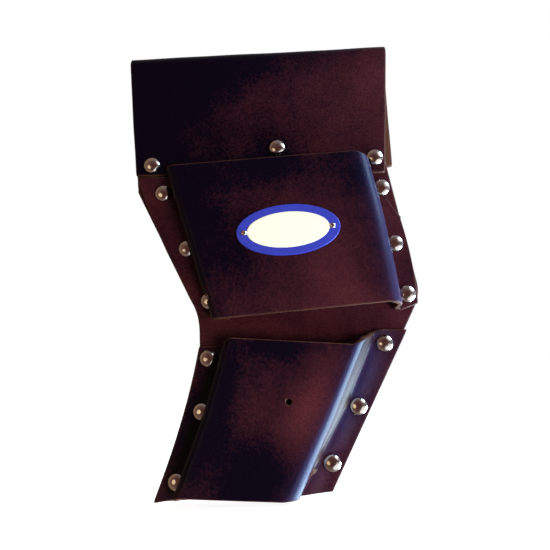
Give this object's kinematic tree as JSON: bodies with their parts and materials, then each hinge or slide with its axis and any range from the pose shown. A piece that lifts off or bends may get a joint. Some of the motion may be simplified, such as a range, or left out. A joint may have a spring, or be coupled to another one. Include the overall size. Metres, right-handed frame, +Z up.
{
  "type": "roofer's dog-leg tool holster",
  "caption": "Cranked leather belt holster with a folded belt loop and two riveted, open-ended channels, one above the other, for long-handled hand tools.",
  "frame": {"origin": "middle of the belt tunnel: centre of the belt loop's width, of the 50 mm belt's height and of the back panel's thickness", "axes": "+Z up as worn, along the holster's length; +X along the belt, to the viewer's right; -Y is the front, away from the wearer"},
  "size_m": [0.1719, 0.0303, 0.2727],
  "materials": {
    "leather": "dark oxblood-brown waxed leather, worn to a soft gloss on the bends",
    "nickel": "bright nickel plate",
    "label": "printed oval plate, royal blue border with a plain off-white field"
  },
  "bodies": {
    "root": {"back_panel": "leather", "belt_loop": "leather", "upper_pocket": "leather", "lower_pocket": "leather", "label_plate": "label", "label_pin_left": "nickel", "label_pin_right": "nickel", "belt_rivet_left": "nickel", "belt_rivet_left_burr": "nickel", "belt_rivet_middle": "nickel", "belt_rivet_middle_burr": "nickel", "belt_rivet_right": "nickel", "belt_rivet_right_burr": "nickel", "upper_rivet_left_1": "nickel", "upper_rivet_left_1_burr": "nickel", "upper_rivet_left_2": "nickel", "upper_rivet_left_2_burr": "nickel", "upper_rivet_left_3": "nickel", "upper_rivet_left_3_burr": "nickel", "upper_rivet_right_1": "nickel", "upper_rivet_right_1_burr": "nickel", "upper_rivet_right_2": "nickel", "upper_rivet_right_2_burr": "nickel", "upper_rivet_right_3": "nickel", "upper_rivet_right_3_burr": "nickel", "lower_rivet_left_1": "nickel", "lower_rivet_left_1_burr": "nickel", "lower_rivet_left_2": "nickel", "lower_rivet_left_2_burr": "nickel", "lower_rivet_left_3": "nickel", "lower_rivet_left_3_burr": "nickel", "lower_rivet_right_1": "nickel", "lower_rivet_right_1_burr": "nickel", "lower_rivet_right_2": "nickel", "lower_rivet_right_2_burr": "nickel", "lower_rivet_right_3": "nickel", "lower_rivet_right_3_burr": "nickel"}
  },
  "joints": []
}
